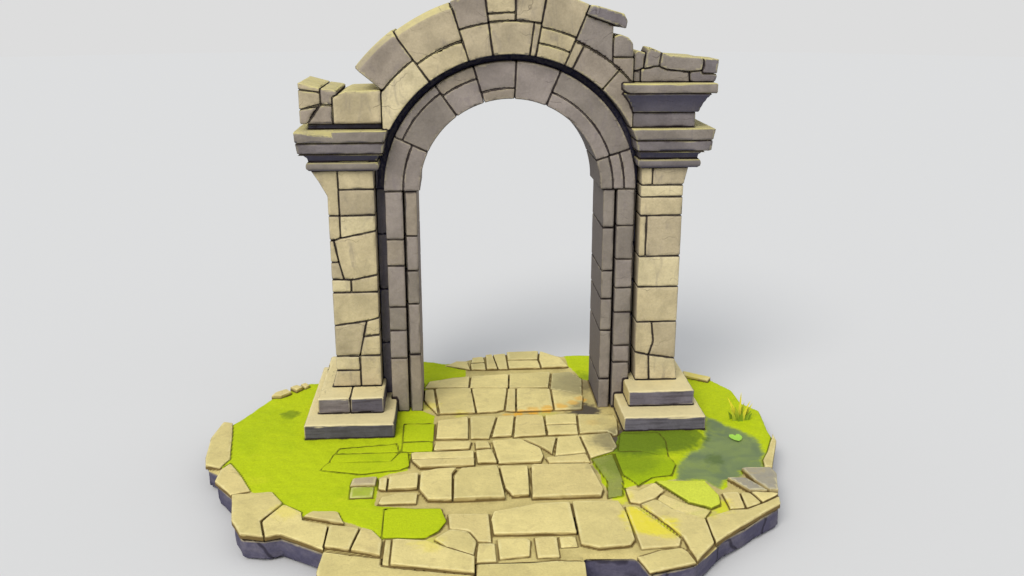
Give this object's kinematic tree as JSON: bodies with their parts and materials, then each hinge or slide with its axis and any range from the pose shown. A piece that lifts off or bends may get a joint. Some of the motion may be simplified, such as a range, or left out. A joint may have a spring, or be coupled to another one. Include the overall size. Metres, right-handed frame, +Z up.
{
  "type": "stone arch",
  "caption": "Ruined round-arched stone gateway of dry-laid blocks with two piers and moulded capitals, on a rock base with flagstones and turf.",
  "frame": {"origin": "underside of the rock base, on the centre line of the passage, midway through the jambs", "axes": "+X to the right along the wall seen from the front, +Y through the passage to the back, +Z up"},
  "size_m": [4.209, 3.7673, 3.3607],
  "materials": {
    "rock": "rough quarry face",
    "flagstone": "worn, matt",
    "pier_stone": "dressed, weathered",
    "jamb_stone": "dressed, weathered",
    "weathered_stone": "weathered, chipped",
    "capital_stone": "moulded, weathered",
    "base_stone": "worn, cracked",
    "recess_stone": "dark, damp",
    "turf": "short grass",
    "wet_ground": "damp",
    "plant": "leaf"
  },
  "bodies": {
    "root": {"arch_cap_stone": "weathered_stone", "arch_rubble": "weathered_stone", "edge_stones_back": "flagstone", "inner_ring": "jamb_stone", "leaning_slabs": "flagstone", "ledge_stones": "flagstone", "left_cavetto": "capital_stone", "left_jamb_inner_order": "jamb_stone", "left_jamb_outer_order": "jamb_stone", "left_lower_slab": "capital_stone", "left_lower_step": "base_stone", "left_necking": "capital_stone", "left_recess_fillet": "recess_stone", "left_shaft_lower": "pier_stone", "left_shaft_middle": "pier_stone", "left_shaft_upper": "pier_stone", "left_upper_slab": "capital_stone", "left_upper_step": "base_stone", "left_wall_bed": "weathered_stone", "left_wall_stones": "weathered_stone", "outer_ring_lower_row": "weathered_stone", "outer_ring_upper_row": "weathered_stone", "paving_back_row": "flagstone", "paving_front_row": "flagstone", "paving_front_steps": "flagstone", "paving_long_row": "flagstone", "paving_passage_row": "flagstone", "paving_pentagon_row": "flagstone", "paving_rear_row": "flagstone", "paving_threshold_row": "flagstone", "plants": "plant", "recess_ring": "recess_stone", "right_cavetto": "capital_stone", "right_frieze": "capital_stone", "right_jamb_inner_order": "jamb_stone", "right_jamb_outer_order": "jamb_stone", "right_lower_slab": "capital_stone", "right_lower_step": "base_stone", "right_necking": "capital_stone", "right_recess_fillet": "recess_stone", "right_ruin_stones": "weathered_stone", "right_shaft_lower": "pier_stone", "right_shaft_middle": "pier_stone", "right_shaft_upper": "pier_stone", "right_top_slab": "capital_stone", "right_upper_cavetto": "capital_stone", "right_upper_slab": "capital_stone", "right_upper_step": "base_stone", "rim_slabs_front": "flagstone", "rim_slabs_left": "flagstone", "rim_slabs_right": "flagstone", "rock_base": "rock", "turf_ledges_left": "turf", "turf_left": "turf", "turf_right": "turf", "turf_slabs_right": "turf", "wet_ground": "wet_ground"}
  },
  "joints": []
}
